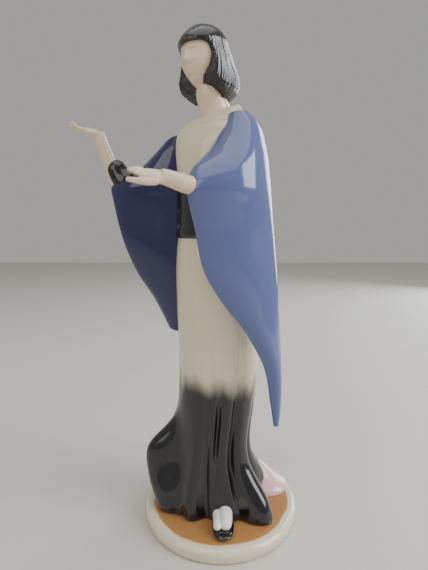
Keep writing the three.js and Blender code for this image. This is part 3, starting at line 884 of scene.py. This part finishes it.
def make_head():
    """Face and neck as one skin."""
    angles = round_angles(150)

    def egg(a, s, out):
        tilt = np.pi * s
        ball = np.stack([np.sin(tilt) * np.cos(a), np.sin(tilt) * np.sin(a), np.cos(tilt)], -1)
        return head_place(face_form(ball * FACE_HALF))

    skull = bent_grid("skull", angles, [(s, 1.0) for s in np.linspace(0, 1, 130)], egg)
    neck = tube("neck", NECK, 60, 60)
    return melted(joined("head", [skull, neck]), 0.34, 2)


def make_hair():
    top = HAIR[-1, 0]

    def place(a, s, out):
        level = HAIR[0, 0] + (top - HAIR[0, 0]) * np.sin(s * np.pi / 2)
        wide, front, back = (smooth_at(HAIR[:, 0], HAIR[:, i], level) for i in (1, 2, 3))
        reach = np.where(np.sin(a) > 0, back, front)
        p = np.stack([wide * np.cos(a) * out, reach * np.sin(a) * out, level + 0 * a], -1)
        return head_place(p)

    cap = bent_grid("hair", round_angles(180), capped(np.linspace(0, 1, 110)), place)
    cutter = cutting_prism("face_cutter", FACE_OPENING, 60)
    cut = cap.modifiers.new("open", "BOOLEAN")
    cut.operation, cut.object, cut.solver = "DIFFERENCE", cutter, "EXACT"
    settled(cap)
    bpy.data.meshes.remove(cutter.data)
    melted(cap, 0.36, 4)
    combed(cap)
    return cap


def cutting_prism(name, outline, width):
    """The outline of the face's opening, extruded across the head."""
    bm = bmesh.new()
    corners = [bm.verts.new((-width / 2, y, z)) for y, z in outline]
    face = bm.faces.new(corners)
    swept = bmesh.ops.extrude_face_region(bm, geom=[face])
    verts = [v for v in swept["geom"] if isinstance(v, bmesh.types.BMVert)]
    bmesh.ops.translate(bm, verts=verts, vec=(width, 0, 0))
    bmesh.ops.recalc_face_normals(bm, faces=bm.faces)
    for vert in bm.verts:
        vert.co = Vector(head_place(np.array(vert.co)) * MM)
    mesh = bpy.data.meshes.new(name)
    bm.to_mesh(mesh)
    bm.free()
    return smooth_piece(name, mesh)


def combed(hair):
    """Strands and the separate locks of the cut, pressed into the hair's outer side."""
    at, faces = points_of(hair), normals_of(hair)
    local = head_local(at)
    angle = np.arctan2(local[:, 1], local[:, 0])
    outer = smooth_step(0.1, 0.5, np.einsum(
        "ij,ij->i", turned(faces, -HEAD_TURN), unit(local * (1, 1, 0.4))))
    down = smooth_step(14, -20, local[:, 2])
    curve = angle + 0.05 * np.sin(local[:, 2] * 0.18 + angle * 3)
    strands = 0.10 * np.sin(curve * 92) + 0.08 * np.sin(curve * 41 + 1.3) + 0.05 * np.sin(curve * 157 + 2)
    locks = -0.55 * down ** 1.5 * np.abs(np.cos(curve * 6.5)) ** 0.35 + 0.3 * down ** 1.5
    at += faces * (outer * (strands * (0.4 + 0.6 * down) - locks * 0.9))[:, None]
    move_points(hair, at)


def paint_head(head):
    canvas = Canvas(head)
    canvas.colour[:] = SKIN
    canvas.save()


def paint_plain(piece, colour):
    canvas = Canvas(piece)
    canvas.colour[:] = colour
    canvas.save()


# ---------------------------------------------------------------- sash, sandal, train and plinth

def make_sash():
    """The broad sash, its two edges rolled and three soft folds round it."""
    levels = np.concatenate([[180.6, 180.7], np.linspace(181.2, 208.6, 70), [209.1, 209.2]])

    def place(a, level, out):
        edge = np.minimum(level - 180.6, 209.2 - level)
        proud = 1.6 * np.sqrt(np.clip(edge / 1.8, 0, 1)) - 0.25 * np.abs(np.cos((level - 180) * 0.34)) ** 8
        return body_at(a, level, out, proud, 0.0)

    return bent_grid("sash", round_angles(200), capped(levels), place)


def make_knot():
    """The flat folded knot at her back: a box with rolled edges and a band round its middle."""
    bm = bmesh.new()
    bmesh.ops.create_cube(bm, size=1)
    bmesh.ops.scale(bm, vec=(28, 12.5, 28), verts=bm.verts)
    bmesh.ops.bevel(bm, geom=list(bm.edges), offset=4.2, segments=6, profile=0.5, affect="EDGES",
                    material=-1)
    bmesh.ops.subdivide_edges(bm, edges=bm.edges, cuts=3, use_grid_fill=True)
    for vert in bm.verts:
        x, y, z = vert.co
        pinch = 1 - 0.10 * math.exp(-(z / 5) ** 2)
        vert.co = Vector((x * pinch, y * (1 - 0.25 * math.exp(-(z / 4.5) ** 2)) + 20,
                          z + 0.4 * math.sin(x * 0.5))) * MM
        if abs(z) < 14 and y > 0:
            vert.co.y += 0.25 * MM * math.sin(x * 1.1)
    turn = math.radians(-40)
    for vert in bm.verts:
        x, y, z = vert.co
        vert.co = Vector((x * math.cos(turn) - y * math.sin(turn) - 7 * MM,
                          x * math.sin(turn) + y * math.cos(turn), z + 195 * MM))
    mesh = bpy.data.meshes.new("sash_knot")
    bm.to_mesh(mesh)
    bm.free()
    return smooth_piece("sash_knot", mesh)


def make_sandal():
    level = FLOOR + 1.8
    sole = [(1, -22, level, 6.4), (1.1, -32, level, 6.4), (1.1, -43.4, level, 5.1)]
    return tube("sandal", sole, 64, 60, 3.6 / 12.8)


def make_foot():
    """The split-toed sock: a small big toe and the rest of the foot, parted by the thong."""
    toe = [(-2.2, -24, FLOOR + 5.2, 3.4), (-2.4, -32, FLOOR + 5.4, 2.6), (-2.5, -38.6, FLOOR + 4.6, 2.3)]
    rest = [(2.4, -22, FLOOR + 6.4, 4.4), (2.5, -31, FLOOR + 5.6, 4.2), (2.3, -38.2, FLOOR + 4.6, 3.2)]
    return melted(joined("sock", [tube("toe", toe, 30, 40, 0.95), tube("rest", rest, 30, 40, 0.9)]), 0.34, 2)


def make_train():
    def place(a, s, out):
        reach, level = (smooth_at(np.linspace(0, 1, 5), TRAIN_RINGS[:, i], s) for i in (0, 1))
        p = np.stack([TRAIN["wide"] * np.cos(a) - TRAIN["skew"] * np.sin(a), TRAIN["deep"] * np.sin(a),
                      0 * a], -1) * (reach * out)[..., None]
        return p + np.stack([TRAIN["middle"][0] + 0 * a, TRAIN["middle"][1] + 0 * a, FLOOR + level], -1)

    return bent_grid("train", round_angles(180), capped(np.linspace(0, 1, 60)), place)


def make_plinth():
    radius, height, edge, chamfer = (PLINTH[k] for k in ("radius", "height", "edge", "chamfer"))
    profile = [(0, 0), (radius - chamfer - 6, 0), (radius - chamfer, 0), (radius, chamfer),
               (radius, height - edge)]
    for step in range(1, 13):
        turn = math.radians(90 * step / 12)
        profile.append((radius - edge + edge * math.cos(turn), height - edge + edge * math.sin(turn)))
    profile += [(r, height) for r in np.linspace(radius - edge, 0, 60)[1:]]
    bm = bmesh.new()
    verts = [bm.verts.new((x * MM, 0, z * MM)) for x, z in profile]
    edges = [bm.edges.new(pair) for pair in zip(verts, verts[1:])]
    bmesh.ops.spin(bm, geom=verts + edges, cent=(0, 0, 0), axis=(0, 0, 1), angle=2 * math.pi, steps=200,
                   use_merge=True)
    bmesh.ops.remove_doubles(bm, verts=bm.verts, dist=1e-6)
    bmesh.ops.recalc_face_normals(bm, faces=bm.faces)
    mesh = bpy.data.meshes.new("plinth_disc")
    bm.to_mesh(mesh)
    bm.free()
    return smooth_piece("plinth_disc", mesh)


def paint_plinth(plinth):
    canvas = Canvas(plinth)
    across = np.hypot(canvas.at[:, 0], canvas.at[:, 1])
    top = smooth_step(45.4, 44.2, across + 0.5 * wander(canvas.at, 20, 5)) * (canvas.at[:, 2] > 7.5)
    canvas.colour = tint(226, 216, 190) * (1 - top[:, None]) + tint(176, 126, 74) * top[:, None]
    canvas.save()


# ---------------------------------------------------------------- making all of it

def build_figure():
    skirt, bodice = make_skirt(), make_bodice()
    left, right = make_left_sleeve(), make_right_sleeve()
    paint_skirt(skirt)
    paint_bodice(bodice)
    paint_left_sleeve(left)
    paint_right_sleeve(right)
    cuff = tube("right_cuff", RIGHT_CUFF, 60, 50)
    paint_plain(cuff, BLACK)
    head, hair = make_head(), make_hair()
    paint_head(head)
    paint_plain(hair, tint(16, 20, 18))
    arms = [make_arm("left_hand", LEFT_ARM), make_arm("right_hand", RIGHT_ARM)]
    for arm in arms:
        paint_plain(arm, SKIN)
    sash, knot, sandal, foot, train = make_sash(), make_knot(), make_sandal(), make_foot(), make_train()
    for piece, colour in ((sash, BLACK), (knot, BLACK), (sandal, BLACK), (foot, WHITE), (train, PALE_PINK)):
        paint_plain(piece, colour)
    for piece in (skirt, bodice, left, right, train):
        dress(piece, PAINTED, "figure", "figure")
    for piece in (cuff, hair, sash, knot, sandal):
        dress(piece, DARK, "figure", "figure")
    for piece in (head, *arms, foot):
        dress(piece, BISQUE, "figure", "figure")
    plinth = make_plinth()
    paint_plinth(plinth)
    dress(plinth, PAINTED, "plinth", "plinth")


def plain_material(name, colour, roughness):
    material = bpy.data.materials.new(name)
    material.use_nodes = True
    fill(material.node_tree.nodes["Principled BSDF"], Base_Color=(*colour, 1), Roughness=roughness)
    return material


def set_stage():
    """A plain pale floor."""
    bm = bmesh.new()
    bmesh.ops.create_grid(bm, x_segments=1, y_segments=1, size=2.0)
    mesh = bpy.data.meshes.new("floor")
    bm.to_mesh(mesh)
    bm.free()
    floor = bpy.data.objects.new("floor", mesh)
    bpy.context.scene.collection.objects.link(floor)
    floor.data.materials.append(plain_material("pale_floor", tint(206, 203, 196), 0.7))


def area_light(name, place, aim, width, height, power, colour):
    light = bpy.data.lights.new(name, "AREA")
    light.shape, light.size, light.size_y = "RECTANGLE", width, height
    light.energy, light.color = power, colour
    lamp = bpy.data.objects.new(name, light)
    lamp.location = place
    lamp.rotation_euler = (Vector(aim) - Vector(place)).to_track_quat("-Z", "Y").to_euler()
    bpy.context.scene.collection.objects.link(lamp)


def set_lights():
    aim = (0, 0, 0.15)
    area_light("window_right", (1.1, -0.35, 0.75), aim, 0.7, 1.0, 16, (0.93, 0.96, 1.0))
    area_light("window_behind", (0.75, 0.75, 0.5), aim, 0.4, 0.9, 7, (0.9, 0.94, 1.0))
    area_light("room_left", (-0.9, -0.9, 0.8), aim, 1.0, 1.0, 5, (1.0, 0.97, 0.92))
    area_light("ceiling", (0, -0.2, 1.3), aim, 1.2, 1.2, 6, (1.0, 0.98, 0.95))
    world = bpy.data.worlds.new("pale_room")
    world.use_nodes = True
    background = world.node_tree.nodes["Background"]
    background.inputs["Color"].default_value = (0.72, 0.71, 0.68, 1)
    background.inputs["Strength"].default_value = 0.55
    bpy.context.scene.world = world


def set_camera():
    data = bpy.data.cameras.new("photograph")
    data.lens, data.sensor_width, data.clip_start = 24.947, 36.0, 0.01
    camera = bpy.data.objects.new("photograph", data)
    camera.location = PHOTO.eye * MM
    camera.rotation_euler = (math.radians(90) - PHOTO.pitch, 0, 0)
    bpy.context.scene.collection.objects.link(camera)
    bpy.context.scene.camera = camera


set_camera()
build_figure()
set_stage()
set_lights()
